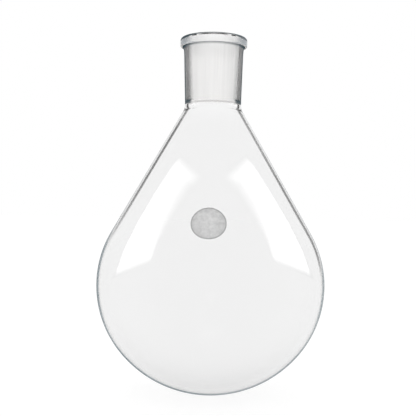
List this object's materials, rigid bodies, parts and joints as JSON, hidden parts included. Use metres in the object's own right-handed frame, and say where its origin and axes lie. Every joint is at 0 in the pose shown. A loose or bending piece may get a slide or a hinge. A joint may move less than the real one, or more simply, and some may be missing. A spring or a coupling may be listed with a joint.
{
  "type": "pear-shaped evaporating flask",
  "caption": "Pear-shaped round-bottomed glass flask with a short beaded neck and a ground taper socket, made to hang from an evaporator's joint.",
  "frame": {"origin": "centre of the mouth, at the rim's top face, on the axis of the ground socket", "axes": "+Z along the socket's axis, up out of the mouth; the bulb hangs towards -Z and the marking spot faces -Y"},
  "size_m": [0.105, 0.105, 0.1645],
  "materials": {
    "glass": "gloss"
  },
  "bodies": {
    "root": {"flask": "glass"}
  },
  "joints": []
}
